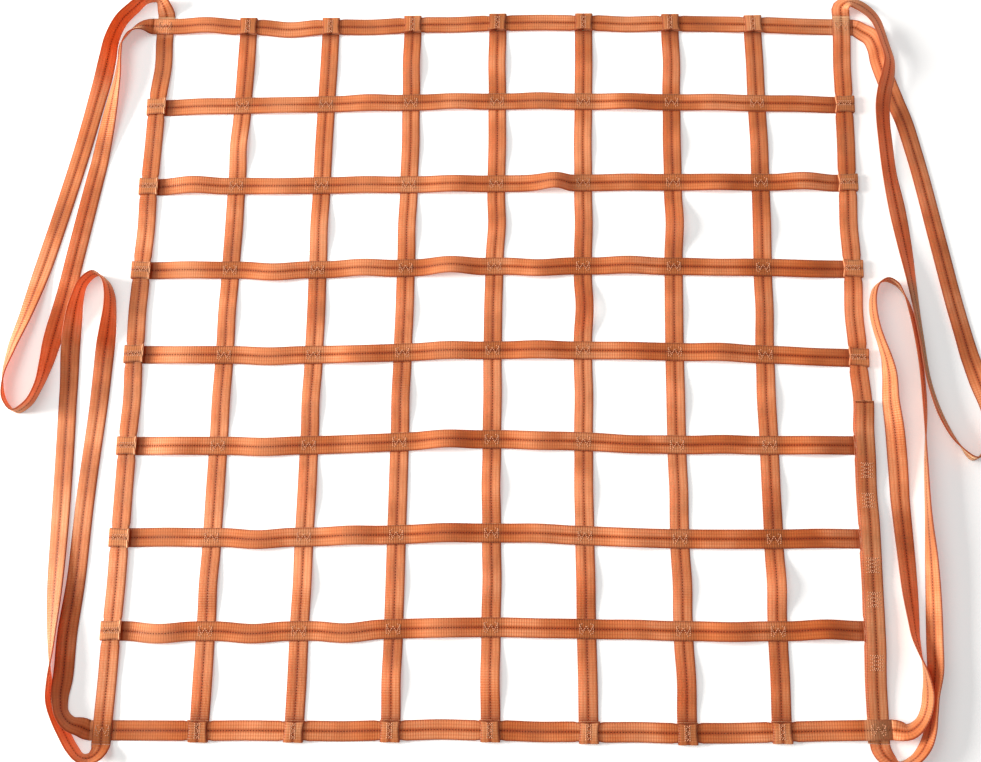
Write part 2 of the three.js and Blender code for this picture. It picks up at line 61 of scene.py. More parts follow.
# Flared lip of a cut end: its rise, its fall as (distance from the lip, share of the rise), how many of these
# stations have the tone of the lip, and the share of a pale tone painted on the raised sewn patch behind them
# as painted light
LIP_RISE = 0.9
LIP_FORM = ((0.0, 1.0), (0.9, 0.74), (2.0, 0.38), (3.2, 0.13), (5.0, 0.0))
LIP_STATIONS = 2
PATCH_PAINTED_LIGHT = 0.3

# A wrapped end turns close round the rim, which it pinches to a share of its width
RIM_PINCH = 0.93
WRAP_EASE = 0.5
WRAP_BEND = 1.3

# Finer steps than the solids have, so that every bend is round
CELL_STEPS = 18
WRAP_STEPS = 12
LOOP_STEP = 4.0

# Slack between crossings: (least, spread) of the clear height under a webbing, and its most tip in degrees
ROW_LIFT = (2.0, 4.5)
COLUMN_LIFT = (0.4, 2.4)
RIM_LIFT = (0.4, 2.0)
SLACK_TIP = 5.0

# Waves that scatter slack, painted sheen and sewn ends: how fast they change from webbing to webbing, and
# from cell to cell or from end to end
LIFT_WAVE = (2.4, 1.9)
SWAY_WAVE = (1.3, 2.7)
PAINTED_SHEEN_WAVE = (1.7, 2.3)
FLAP_WAVES = ((2.1, 0.0), (1.4, 2.0))

# Lap of the rim on the right side: its upper end, its shift outwards, its ease, and its ply at each crossing
SPLICE_START = -63.0
SPLICE_SHIFT = 1.5
SPLICE_EASE = 0.5
SPLICE_PLIES = (1, 3, 3, 3, 3)

# Sideways drift of the length webbings: bottom, lower, middle, upper, top
COLUMN_DRIFT = {
    "rim_left": (-2, 1, 1, 3, 8),
    "col_1": (-1, 0.5, 2, 4.5, 8),
    "col_2": (-2, 0, 2, 2.5, 6),
    "col_3": (-2, -1, 0.5, 3, 2.5),
    "col_4": (2, 1, 0, 3, 3),
    "col_5": (3, 0, -0.5, 1.5, 4),
    "col_6": (4, 0.5, 0, 3.5, 5),
    "col_7": (-1, -1, -2, 2, 0),
    "rim_right": (-5.5, -2.5, -2, -2, 3),
}

# Drift of the cross webbings, from the near side to the far side: left, mid left, middle, mid right, right
ROW_DRIFT = {
    "rim_bottom": (-5.5, -3, 0.5, 0, 7),
    "row_7": (-4, -2, 5, 2.5, 5),
    "row_6": (-6, -4, 3, -3, -1),
    "row_5": (-6, -4.5, 4.5, -2, -1.5),
    "row_4": (-2, -2.5, 4, 2, -6),
    "row_3": (-4, -4, 0.5, 0, -4),
    "row_2": (-3, -2.5, -1, 0, -1.5),
    "row_1": (-4.5, -1.5, 1, -2, -7),
    "rim_top": (1, -3, 1, -2, -9),
}

# Cells that bulge in their own way, for each webbing: {cell: (lift, side, tip)}
BULGES = {
    "rim_top": {1: (5, 2, 0), 2: (1, -3, 0)},
    "row_1": {3: (4.5, 0, 6), 4: (3, 1, -4)},
    "row_2": {5: (11, 1, -8)},
    "row_3": {2: (6.5, -4, 1), 3: (4, 2, -3), 4: (9, 1.5, -8), 5: (5.5, -3.5, -5), 8: (4.5, -1.5, 1)},
    "row_4": {2: (2.5, -2, 5), 5: (6, 0, 6)},
    "row_5": {2: (5, -2, 2), 4: (8, 1, -7), 5: (6, -1.5, 4)},
    "row_6": {2: (5, -3, -4), 4: (7, 0.5, 5)},
    "row_7": {1: (5.5, -3.5, 4), 2: (2.5, -3, -3), 3: (4, -3.5, 3), 8: (7, 2, -6)},
    "col_2": {2: (2, 1, -4)},
    "col_4": {6: (2, 2, -1)},
    "col_5": {5: (7, 2, 9)},
    "col_6": {2: (1, 1, -4), 6: (7, 1, -8)},
    "col_7": {2: (6, 0, -6), 3: (3, -1, 4)},
    "rim_left": {8: (1, 2.5, 0)},
    "rim_right": {4: (1, 3, 0), 5: (1, -1.5, 0)},
}

# Where a bulge is highest when that is not the middle of its cell
BULGE_PEAK = {("row_2", 5): 0.72}

# Routes of the lifting loops: x, y, lean of the left edge in degrees and, where there is any, the clear
# height under the lowest edge
LOOP_ROUTES = {
    "loop_top_left": (
        (-482, 518, -32, 1.5), (-493, 532, -70, 1), (-508, 530, -80, 0.5), (-524, 515, -78),
        (-541, 496, -72), (-554, 463, -58), (-558, 437, -40), (-563, 408, -22), (-571.5, 368, -7),
        (-583, 308, -2), (-607, 198, 0), (-626, 117, 3), (-641, 53, 25), (-655, 3, 43), (-661, -40, 66),
        (-654, -70, 84), (-640, -83, 90), (-624, -73, 90), (-612, -50, 88), (-604, -17, 68), (-599, 20, 38),
        (-590, 75, 14), (-580, 140, 12), (-567, 225, 8), (-558, 285, -2), (-551, 335, -17),
        (-545.5, 374, -34), (-541, 408, -51), (-540, 438, -62), (-539, 460, -61), (-528, 477, -60),
        (-515, 486, -36, 1),
    ),
    "loop_bottom_left": (
        (-490, -516, 18, 1.5), (-499.5, -526.5, 52, 1), (-512, -525.5, 74, 0.5), (-523.5, -514.5, 74),
        (-534.5, -498, 74), (-545, -480.5, 75), (-556, -457, 83), (-560, -430, 99), (-562, -397, 122),
        (-564, -365, 138), (-566, -325, 156), (-568, -250, 172), (-571, -140, 180), (-574, -40, 182),
        (-575, 10, 200), (-573, 46, 222), (-569, 76, 250), (-562, 99, 264), (-547, 111, 270),
        (-532, 100, 276), (-525, 82, 286), (-523, 60, 294), (-524, 34, 312), (-527, 4, 340),
        (-530, -60, 356), (-538, -205, 360), (-541, -311, 358), (-545, -375, 344), (-545, -428, 337),
        (-544.5, -455, 303), (-540.5, -472.5, 294), (-529, -485, 308), (-516, -489, 334),
    ),
    "loop_top_right": (
        (490.5, 506.5, -16, 3), (499, 512.5, -30, 3), (513.5, 508.5, -28, 3), (527, 497.5, -30, 3.5),
        (536.5, 482, -36, 4.5), (541, 466, -42, 5.5), (546, 443, -43, 7), (550, 419, -42, 9),
        (546.5, 395, -34, 10), (541, 374, -28, 10), (537.5, 352, -27, 8), (537.5, 328, -28, 4.5),
        (539.5, 302, -27, 1.5), (543, 253, -25), (550, 205, -14), (556, 150, -26), (561, 95, -46),
        (568, 20, -60), (575, -45, -60), (588, -90, -58), (605, -122, -66), (625, -142, -90),
        (645, -124, -88), (650, -80, -52), (640, -34, -14), (629, 12, 4), (618, 65, 8), (602, 157, 8),
        (578, 290, 8), (568, 335, 4), (557, 369, -2), (547.5, 397, -8), (540, 424, -15), (536.5, 446, -19),
        (530, 461, -18), (520, 469.5, -8),
    ),
    "loop_bottom_right": (
        (489, -513, -26, 2), (503, -522, -68, 1), (522, -515, -74), (536, -499, -70), (543, -482, -72),
        (547, -461, -75), (550, -440, -74), (555, -411, -58), (557, -372, -54), (559, -324, -58),
        (560, -273, -69), (560, -220, -88), (562, -143, -100), (566, -68, -118), (565, -17, -119),
        (562, 20, -120), (557, 55, -120), (550, 78, -112), (540, 94, -102), (527, 100, -96), (514, 92, -94),
        (508, 76, -95), (507, 58, -96), (510, 34, -95), (515, 14, -96), (520, -6, -104), (523, -28, -120),
        (523, -66, -134), (526, -100, -148), (528, -145, -166), (529, -210, -184), (531, -275, -196),
        (532, -315, -206), (533, -345, -220), (534, -368, -232), (538, -389, -248), (542, -405, -262),
        (544, -421, -275), (544, -438, -287), (541, -455, -288), (533, -471, -292), (518, -482, -314, 1),
    ),
}

# Sewn end of a wrapped webbing, from its lip to the middle of the rim: how far the middle of a section is
# drawn back, its share of the full width and its share of the sideways skew. Then the most skew, and how many
# sections from the lip on have no seam
FLAP_FORM = (
    (2.4, 1.03, 1.0),
    (1.9, 1.02, 0.95),
    (1.1, 1.0, 0.9),
    (0.4, 0.98, 0.85),
    (0.0, 0.95, 0.7),
    (0.0, 0.9, 0.35),
)
FLAP_SKEW = 1.7
FLAP_BARE = 3

# Painted sheen, a highlight painted pale where the webbing swells between crossings: each cell of a cross
# webbing from the left, the length webbings and the rim, and the share of it that differs from cell to cell
ROW_PAINTED_SHEEN = (0.40, 0.34, 0.28, 0.28, 0.22, 0.10, 0.08, 0.0)
COLUMN_PAINTED_SHEEN = 0.16
RIM_PAINTED_SHEEN = 0.12
PAINTED_SHEEN_SPREAD = 0.35

# Painted shade beside the lip of a wrapped end, where the webbing comes out from under the rim, and how fast
# it fades along the webbing
WRAP_PAINTED_SHADE = 0.55
PAINTED_SHADE_FADE = 8

# Tones, pale above 0 and dark below: the lips of cross and length webbings, painted shade on the lips under
# the lap, on a webbing under the rim and on a crossing for each ply below, the lap, and painted light on the
# rim by the ply that it lies on, which lightens its corner tails
ROW_LIP = 0.55
COLUMN_LIP = -1.0
COVERED_LIP_SHADE = -1.0
UNDER_RIM_SHADE = -0.75
PLY_SHADE = -0.2
LAP_SHADE = -0.13
CORNER_PAINTED_LIGHT = (0.3, 0.0, 0.55)

# Box stitch on a crossing, in millimetres along and across the upper webbing: two brackets and a zigzag
BOX_STITCH = (
    ((-5.6, -6.2), (-8.6, -5.2), (-8.6, 5.2), (-5.6, 6.2)),
    ((5.6, -6.2), (8.6, -5.2), (8.6, 5.2), (5.6, 6.2)),
    ((-8.6, 4.6), (-4.3, -4.0), (0.0, 4.0), (4.3, -4.0), (8.6, 4.6)),
)

# Stitch on a wrapped end: two close rows, a bar at each side and a zigzag between them
WRAP_STITCH = (
    ((-8.5, -2.4), (8.5, -2.4)),
    ((-8.5, 3.6), (8.5, 3.6)),
    ((-8.5, -2.4), (-8.5, 3.6)),
    ((8.5, -2.4), (8.5, 3.6)),
    ((-8.5, -2.4), (-4.2, 3.6), (0.0, -2.4), (4.2, 3.6), (8.5, -2.4)),
)

# Patches of zigzag on the lap of the rim, by their place along the right side
LAP_PATCHES = (-157.0, -196.0, -279.0, -322.0, -400.0)
LAP_STITCH = (
    ((-7.0, -9.0), (7.0, -9.0)),
    ((-7.0, 9.0), (7.0, 9.0)),
    ((-7.0, -9.0), (7.0, -4.5), (-7.0, 0.0), (7.0, 4.5), (-7.0, 9.0)),
    ((7.0, -9.0), (-7.0, -4.5), (7.0, 0.0), (-7.0, 4.5), (7.0, 9.0)),
)
BAR_TACK = (((-10.5, 0.0), (10.5, 0.0)), ((-10.5, 1.3), (10.5, 1.3)))
TACK_INSET = 2.5

# How proud a pattern lies, its steps on a wavy webbing, how flat a stitch is, and how deep the seam is sunk
STITCH_PROUD = 0.1
STITCH_STEP = 3.0
STITCH_FLAT = 0.6
SEAM_LEVEL = 0.62

# Section of the webbing, one quarter from its edge to its middle: shares of half width and half thickness
QUARTER_SECTION = (
    (1.0, 0.0), (0.985, 0.55), (0.94, 0.86), (0.72, 1.0), (0.36, 0.98), (0.1, 0.84), (0.0, 0.66),
)

# Bands of colour from the middle of the webbing to its edge: lighter shoulders of the weave that also carry
# painted highlights and an edge band of painted shade; then colour factors of its wear from dark to pale
BANDS = (
    (0.0, "groove"), (0.09, "groove"), (0.22, "webbing"), (0.36, "shoulder"), (0.50, "webbing"),
    (0.66, "shoulder"), (0.85, "webbing"), (0.94, "edge"), (1.0, "edge"),
)
WEAR = ((0.36, (0.37, 0.30, 0.20)), (0.5, (0.49, 0.48, 0.46)), (0.63, (0.59, 0.74, 0.98)))

# Scales of the patterns in the finishes, in spots to the metre, and the ribs across the width of a webbing
WEAR_SCALE = 11.0
STREAK_SCALE = 45.0
FUZZ_SCALE = 900.0
TWIST_SCALE = 1400.0
MOTTLE_SCALE = 3.0
WARP_RIBS = 15

# How much streaks and ribs lighten the webbing, its relief, its roughness and the light that comes through it
STREAK_TONE = (1.76, 2.24)
RIB_TONE = (0.94, 1.05)
RIB_RELIEF = 0.55
WARP_RELIEF = 0.22
FUZZ_RELIEF = 0.5
RELIEF_DEPTH = 0.00035
CLOTH_ROUGHNESS = (0.38, 0.52)
GLOW_SHARE = 0.36

# Thread and floor: the share of their colour in their darkest spots
THREAD_DARK = 0.72
FLOOR_DARK = 0.985

# Stage in metres and degrees, with each light's place, side, power and colour
FLOOR_REACH = 16.0
FLOOR_GLOW = 0.34
ROOM_LIGHT = 0.27
LIGHTS = {
    "key_light": ((-5.5, 0.3, 1.85), 2.4, 800.0, (1.0, 0.97, 0.93)),
    "top_light": ((-1.7, 0.9, 2.8), 2.0, 44.0, (1.0, 0.98, 0.95)),
}
CAMERA_PLACE = (0.05658, -0.39209, 1.54457)
CAMERA_YAW = 9.45
CAMERA_TILT = 13.1
CAMERA_ROLL = -9.11
CAMERA_LENS = 43.45
CAMERA_CLIP = (0.05, 50.0)


def length_setting(name, description, default):
    """A length that the panel shows."""
    return bpy.props.FloatProperty(name=name, description=description, default=default, unit="LENGTH")


def colour_setting(name, description, default):
    """A colour that the panel shows."""
    return bpy.props.FloatVectorProperty(name=name, description=description, default=default, subtype="COLOR")


class NetSizes(bpy.types.PropertyGroup):
    """Sizes of the net's webbing and sewing."""

    web_width: length_setting("Webbing width", "Width of the flat webbing", WEB_WIDTH * MM)
    web_thick: length_setting("Webbing thickness", "Thickness of the flat webbing", 0.0022)
    ply_gap: length_setting("Ply gap", "Clear height between two sewn layers", 0.0003)
    seam_pitch: length_setting("Seam pitch", "Spacing of the stitches down the middle", 0.0038)
    seam_stitch: length_setting("Seam stitch", "Length of a stitch of the middle seam", 0.0025)
    seam_width: length_setting("Seam width", "Width of a stitch of the middle seam", 0.0014)
    box_pitch: length_setting("Box stitch pitch", "Spacing of the stitches of a box", 0.0024)
    box_stitch: length_setting("Box stitch", "Length of a stitch of a box", 0.002208)
    box_width: length_setting("Box stitch width", "Width of a stitch of a box", 0.00132)
    rib_pitch: length_setting("Rib pitch", "Spacing of the cross ribs of the weave", 0.0032)


class NetColours(bpy.types.PropertyGroup):
    """Colours of the net and of its stage."""

    webbing: colour_setting("Webbing", "Main colour of the webbing", (0.57, 0.172, 0.050))
    # Shoulder bands: lighter bands of the weave, painted paler as highlights on the rounded halves
    shoulder: colour_setting("Shoulder", "Lighter bands of the webbing", (0.70, 0.265, 0.092))
    # Edge band: painted shade along both edges of the webbing
    edge: colour_setting("Edge", "Darker woven edge of the webbing", (0.17, 0.036, 0.012))
    groove: colour_setting("Groove", "Webbing drawn in under the middle seam", (0.36, 0.068, 0.012))
    # Pale colour of the cut lips, also the colour that painted highlights and painted light blend to
    lip_and_painted_light: colour_setting("Cut end", "Pale flared lip of a cut end", (0.86, 0.48, 0.24))
    seam: colour_setting("Seam thread", "Thread of the middle seam", (0.19, 0.032, 0.006))
    thread: colour_setting("Box thread", "Thread of the box stitches", (0.72, 0.35, 0.20))
    glow: colour_setting("Glow", "Light that comes through the webbing", (1.0, 0.27, 0.045))
    floor: colour_setting("Floor", "Colour of the floor", (0.88, 0.88, 0.88))


# Shape of the net


def smooth_curve(knots, values, first=None, last=None):
    """Smooth curve through values at rising knots, straight beyond its ends."""
    rates = [(b - a) / (q - p) for a, b, p, q in zip(values, values[1:], knots, knots[1:])]
    slopes = [rates[0] if first is None else first]
    for i in range(1, len(knots) - 1):
        before, after = knots[i] - knots[i - 1], knots[i + 1] - knots[i]
        slopes.append((rates[i - 1] * after + rates[i] * before) / (before + after))
    slopes.append(rates[-1] if last is None else last)

    def at(u):
        if u <= knots[0]:
            return values[0] + slopes[0] * (u - knots[0])
        if u >= knots[-1]:
            return values[-1] + slopes[-1] * (u - knots[-1])
        i = 0
        while u > knots[i + 1]:
            i += 1
        span = knots[i + 1] - knots[i]
        t = (u - knots[i]) / span
        fall, rise = (1 - t) ** 2, t * t
        return (
            fall * (1 + 2 * t) * values[i]
            + rise * (3 - 2 * t) * values[i + 1]
            + span * (fall * t * slopes[i] - rise * (1 - t) * slopes[i + 1])
        )

    return at


def cell_swell(share, peak):
    """Swell of a free cell, from none at both ends to all of it at its peak."""
    return math.sin(math.pi * share ** (math.log(0.5) / math.log(peak))) ** 2


def scatter(wave, index, step):
    """A value from -1 to 1 that differs from webbing to webbing and from step to step along it."""
    return math.sin(wave[0] * index + wave[1] * step)


def slope_at(line, u):
    """Slope of a line in plan at u."""
    return (line(u + 1.0) - line(u - 1.0)) / 2.0


class Strap:
    """One webbing of the grid: its name, its place in the count and its line in plan."""

    def __init__(self, name, index, along, drift):
        half = NetLayout.HALF_GRID
        self.name, self.index, self.along = name, index, along
        self.drift = smooth_curve([-half, -half / 2, 0.0, half / 2, half], drift)

    def line(self, u):
        """Place across the net of this webbing, at u along it."""
        return NetLayout.grid_line(self.index) + self.drift(u)

    def turned(self, along, across, height=0.0):
        """A vector given along and across this webbing, in the net's axes."""
        return Vector((along, across, height) if self.along == "x" else (across, along, height))


class NetLayout:
    """Where every webbing of the net lies, in millimetres."""

    PITCH = (NET_SIDE - WEB_WIDTH) / CELLS
    HALF_GRID = PITCH * CELLS / 2

    @staticmethod
    def grid_line(k):
        """Straight line of grid webbing k, counted from the left or from the near side."""
        return k * NetLayout.PITCH - NetLayout.HALF_GRID

    def __init__(self, sizes):
        self.half_width = sizes.web_width / MM / 2
        self.half_thick = sizes.web_thick / MM / 2
        self.ply = (sizes.web_thick + sizes.ply_gap) / MM
        self.gap = sizes.ply_gap / MM
        self.columns = [Strap(name, k, "y", row) for k, (name, row) in enumerate(COLUMN_DRIFT.items())]
        self.rows = [Strap(name, k, "x", row) for k, (name, row) in enumerate(ROW_DRIFT.items())]

    def ply_height(self, ply):
        """Height of a webbing's middle on a given ply, counted from the floor up."""
        return self.half_thick + ply * self.ply

    def crossings(self, strap):
        """Where a webbing crosses those of the other direction, along its own axis."""
        others = self.columns if strap.along == "x" else self.rows
        return [other.line(strap.line(self.grid_line(other.index))) for other in others]

    def slack(self, strap, lift):
        """Lift, sideways bulge, tip and peak of each cell of a webbing."""
        cells = []
        for cell in range(CELLS):
            spread = 0.5 + 0.5 * scatter(LIFT_WAVE, strap.index, cell)
            sway = scatter(SWAY_WAVE, strap.index, cell)
            tip = 0.0 if lift is RIM_LIFT else SLACK_TIP * sway
            own = BULGES.get(strap.name, {}).get(cell + 1, (lift[0] + lift[1] * spread, sway, tip))
            cells.append((*own, BULGE_PEAK.get((strap.name, cell + 1), 0.5)))
        return cells

    def plan(self, strap, crossings, slack, shift=0.0):
        """Plan line of a webbing with the sideways bulges of its cells."""

        def at(u):
            for cell in range(CELLS):
                start, end = crossings[cell] + FLAT_REACH, crossings[cell + 1] - FLAT_REACH
                if start < u < end:
                    swell = cell_swell((u - start) / (end - start), slack[cell][3])
                    return strap.line(u) + shift + slack[cell][1] * swell
            return strap.line(u) + shift

        return at

    def cell_stations(self, start, end, low, high, slack, painted_sheen=0.0, painted_shade=(0.0, 0.0)):
        """Stations of one free cell between two flat crossings: place, height, tip, tone."""
        lift, _, tip, peak = slack
        rise = self.half_width * math.sin(math.radians(abs(tip)))
        stations = []
        for step in range(1, CELL_STEPS):
            share = step / CELL_STEPS
            swell = cell_swell(share, peak)
            level = low + (high - low) * share * share * (3 - 2 * share)
            top = self.half_thick + lift + rise - (low + high) / 2
            # Painted sheen rises with the swell; painted shade fades in from each wrapped end
            shade = painted_sheen * swell - painted_shade[0] * (1 - share) ** PAINTED_SHADE_FADE - painted_shade[1] * share ** PAINTED_SHADE_FADE
            stations.append((start + (end - start) * share, level + top * swell, tip * swell, shade))
        return stations

    @staticmethod
    def painted_sheen(strap, cell):
        """Painted sheen of a cell of a webbing: how pale it is painted where it stands proud, uneven from
        cell to cell.
        """
        most = ROW_PAINTED_SHEEN[cell] if strap.along == "x" else COLUMN_PAINTED_SHEEN
        return most * (1 - PAINTED_SHEEN_SPREAD + PAINTED_SHEEN_SPREAD * scatter(PAINTED_SHEEN_WAVE, strap.index, cell))

    def wrap_stations(self, crossing, inward, flared, tone):
        """End wrapped round the rim: the cut end lies on the rim, the webbing turns under it."""
        turn = crossing - inward * (RIM_PINCH * self.half_width + WRAP_EASE)
        lip = crossing + inward * (self.half_width + self.gap)
        flare = LIP_RISE if flared else 0.0
        top = self.ply_height(2)
        # The raised patch and the top of the wrap get painted light, a share of a pale lip tone
        patch_painted_light = PATCH_PAINTED_LIGHT * max(tone, 0.0)
        stations = []
        for k, (reach, share) in enumerate((*LIP_FORM, (self.half_width, 0.0))):
            shade = tone if k < LIP_STATIONS else patch_painted_light
            stations.append((lip - inward * reach, top + flare * share, 0.0, shade))
        for step in range(WRAP_STEPS + 1):
            angle = math.pi * step / WRAP_STEPS
            side = np.sign(WRAP_STEPS / 2 - step)
            height = self.ply_height(1) + side * (self.ply - WRAP_BEND) + WRAP_BEND * math.cos(angle)
            shade = patch_painted_light if side >= 0 else 0.0
            stations.append((turn - inward * WRAP_BEND * math.sin(angle), height, 0.0, shade))
        return stations

    def station_frames(self, strap, plan, stations):
        """Frames of a grid webbing from its stations: middle, width direction, face, tone."""
        points = [np.array(s[:2]) for s in stations]
        frames = []
        for i, (u, z, tip, tone) in enumerate(stations):
            into = points[i] - points[max(i - 1, 0)]
            out = points[min(i + 1, len(points) - 1)] - points[i]
            run = into / (np.linalg.norm(into) or 1.0) + out / (np.linalg.norm(out) or 1.0)
            run /= np.linalg.norm(run)
            heading = strap.turned(1.0, slope_at(plan, u)).normalized()
            tangent = heading * run[0] + UP * run[1]
            across = Matrix.Rotation(math.radians(tip), 3, tangent) @ UP.cross(heading)
            frames.append((strap.turned(u, plan(u), z), across, tangent.cross(across), tone))
        return frames

    def grid_frames(self, strap, plies, lift, wrapped, flared=True, lip_tone=0.0):
        """A length or cross webbing with both ends wrapped, or a rim side with its plain tails."""
        crossings = self.crossings(strap)
        slack = self.slack(strap, lift)
        stations, pinched = [], []
        for k, crossing in enumerate(crossings):
            height = self.ply_height(plies[k])
            first, last = k == 0, k == CELLS
            # Painted light on the rim's corner tails; painted shade under the rim and on each ply of a
            # crossing
            if not wrapped:
                tone = CORNER_PAINTED_LIGHT[plies[k]]
            elif first or last:
                tone = UNDER_RIM_SHADE
            else:
                tone = PLY_SHADE * plies[k]
            if first and wrapped:
                stations += self.wrap_stations(crossing, 1, True, lip_tone)
            else:
                stations.append((crossing - (RIM_TAIL if first else FLAT_REACH), height, 0.0, tone))
            if last and wrapped:
                end_tone = lip_tone if flared else COVERED_LIP_SHADE
                stations += reversed(self.wrap_stations(crossing, -1, flared, end_tone))
            else:
                stations.append((crossing + (RIM_TAIL if last else FLAT_REACH), height, 0.0, tone))
            if not (wrapped or first or last):
                pinched += [len(stations) - 2, len(stations) - 1]
            if not last:
                start, end = crossing + FLAT_REACH, crossings[k + 1] - FLAT_REACH
                # Painted sheen on the cell, and painted shade beside a wrapped end
                painted_sheen = self.painted_sheen(strap, k) if wrapped else RIM_PAINTED_SHEEN
                painted_shade = (WRAP_PAINTED_SHADE * (wrapped and first), WRAP_PAINTED_SHADE * (wrapped and k == CELLS - 1))
                rise = self.ply_height(plies[k + 1])
                stations += self.cell_stations(start, end, height, rise, slack[k], painted_sheen, painted_shade)
        frames = self.station_frames(strap, self.plan(strap, crossings, slack), stations)
        for i in pinched:
            at, across, face, tone = frames[i]
            frames[i] = (at, across * RIM_PINCH, face, tone)
        return frames

    def splice_frames(self):
        """The lap of the rim webbing: it rides on the right rim and on the wrapped ends there."""
        rim = self.columns[CELLS]
        crossings = self.crossings(rim)
        slack = self.slack(rim, RIM_LIFT)
        heights = [self.ply_height(ply) for ply in SPLICE_PLIES]
        stations = [(crossings[0] - RIM_TAIL, heights[0], 0.0, 0.0)]
        k = 0
        while crossings[k] < SPLICE_START:
            if k > 0:
                stations.append((crossings[k] - FLAT_REACH, heights[k], 0.0, 0.0))
            stations.append((crossings[k] + FLAT_REACH, heights[k], 0.0, 0.0))
            lift, *rest = slack[k]
            raised = (lift + self.ply + SPLICE_EASE, *rest)
            start, end = crossings[k] + FLAT_REACH, crossings[k + 1] - FLAT_REACH
            cell = self.cell_stations(start, end, heights[k], heights[k + 1], raised)
            stations += [s for s in cell if s[0] <= SPLICE_START]
            k += 1
        stations = [(u, z, tip, LAP_SHADE) for u, z, tip, _ in stations]
        return self.station_frames(rim, self.plan(rim, crossings, slack, SPLICE_SHIFT), stations)

    def rim_end(self, strap, side, ply, shift=0.0):
        """End of a rim side: its place in plan, the way that it runs on and its clear height."""
        crossings = self.crossings(strap)
        u = (crossings[CELLS] if side > 0 else crossings[0]) + side * RIM_TAIL
        heading = strap.turned(1.0, slope_at(strap.line, u)).normalized() * side
        at = strap.turned(u, strap.line(u) + shift)
        return at + heading * self.gap, heading, ply * self.ply

    def loop_frames(self, name, start, end):
        """Frames of a lifting loop from one rim end to another, along its route."""
        (here, way, low), (there, back, high) = start, end
        route = [(*row, 0)[:4] for row in LOOP_ROUTES[name]]
        end_lean = 180.0 * math.floor(route[-1][2] / 180.0 + 0.5)
        table = [(here.x, here.y, 0.0, low), *route, (there.x, there.y, end_lean, high)]
        knots = [0.0]
        for a, b in zip(table, table[1:]):
            knots.append(knots[-1] + math.hypot(b[0] - a[0], b[1] - a[1]))
        xs, ys, leans, lifts = zip(*table)
        x_at = smooth_curve(knots, xs, way.x, -back.x)
        y_at = smooth_curve(knots, ys, way.y, -back.y)
        lean_at = smooth_curve(knots, leans, 0.0, 0.0)
        lift_at = smooth_curve(knots, lifts, 0.0, 0.0)
        count = max(2, round(knots[-1] / LOOP_STEP))
        samples = [knots[-1] * i / count for i in range(count + 1)]
        points, turns = [], []
        for u in samples:
            lean = math.radians(lean_at(u))
            rest = self.half_width * abs(math.sin(lean)) + self.half_thick * abs(math.cos(lean))
            points.append(Vector((x_at(u), y_at(u), rest + max(lift_at(u), 0.0))))
            turns.append(lean)
        frames = []
        for i, at in enumerate(points):
            tangent = points[min(i + 1, count)] - points[max(i - 1, 0)]
            if i == 0:
                tangent = way.copy()
            elif i == count:
                tangent = -back
            tangent.normalize()
            across = Matrix.Rotation(turns[i], 3, tangent) @ UP.cross(tangent).normalized()
            frames.append((at, across, tangent.cross(across), 0.0))
        return frames


# Meshes


def placed(name, data):
    """A new object in the scene, at the origin."""
    thing = bpy.data.objects.new(name, data)
    bpy.context.scene.collection.objects.link(thing)
    return thing


def section_ring():
    """Closed section of the webbing with a groove down the middle of both faces."""
    down = [(-s, -t) for s, t in QUARTER_SECTION]
    right = [(s, -t) for s, t in reversed(QUARTER_SECTION[:-1])]
    up = [(s, t) for s, t in QUARTER_SECTION[1:]]
    left = [(-s, t) for s, t in reversed(QUARTER_SECTION[1:-1])]
    return down + right + up + left


def webbing_piece(layout, name, frames, material, pulls):
    """Closed webbing swept along its frames, with a UV map for its weave; returns it and its length."""
    ring = section_ring()
    count = len(ring)
    points, along, tones = [], [0.0], []
    for i, (at, across, face, tone) in enumerate(frames):
        if i:
            along.append(along[-1] + (at - frames[i - 1][0]).length)
        pull = across.cross(face) * pulls.get(i, 0.0)
        for s, t in ring:
            spot = at + across * (s * layout.half_width) + face * (t * layout.half_thick)
            points.append((spot + pull * (1 - abs(s)) ** 2) * MM)
            tones.append(tone)
    faces, uvs = [tuple(reversed(range(count)))], [((s + 1) / 2, 0.0) for s, _ in reversed(ring)]
    for i in range(len(frames) - 1):
        for k in range(count):
            nxt = (k + 1) % count
            faces.append((i * count + k, i * count + nxt, (i + 1) * count + nxt, (i + 1) * count + k))
            left, right = (ring[k][0] + 1) / 2, (ring[nxt][0] + 1) / 2
            v0, v1 = along[i] * MM, along[i + 1] * MM
            uvs += [(left, v0), (right, v0), (right, v1), (left, v1)]
    last = (len(frames) - 1) * count
    faces.append(tuple(range(last, last + count)))
    uvs += [((s + 1) / 2, along[-1] * MM) for s, _ in ring]

    mesh = bpy.data.meshes.new(name + "_webbing")
    mesh.from_pydata(points, [], faces)
    weave = mesh.uv_layers.new(name="weave")
    weave.data.foreach_set("uv", np.array(uvs, dtype=np.float32).ravel())
    mark = mesh.attributes.new("tone", "FLOAT", "POINT")
    mark.data.foreach_set("value", np.array(tones, dtype=np.float32))
    smooth = np.ones(len(faces), dtype=bool)
    smooth[[0, -1]] = False
    mesh.polygons.foreach_set("use_smooth", smooth)
    mesh.materials.append(material)
    mesh.update()
    if mesh.validate():
        raise RuntimeError(f"the webbing of {name} has faulty faces")
    return placed(name + "_webbing", mesh), along[-1] * MM


def sewn_ends(frames, index):
    """Narrows and skews both wrapped ends; returns how far the middle of each section is drawn back."""
    skews = [FLAP_SKEW * scatter(wave, index, end) for end, wave in enumerate(FLAP_WAVES)]
    pulls = {}
    for k, (pull, width, share) in enumerate(FLAP_FORM):
        for i, skew, way in ((k, skews[0], 1), (len(frames) - 1 - k, skews[1], -1)):
            at, across, face, tone = frames[i]
            frames[i] = (at + across * (share * skew), across * width, face, tone)
            pulls[i] = pull * way
    return pulls


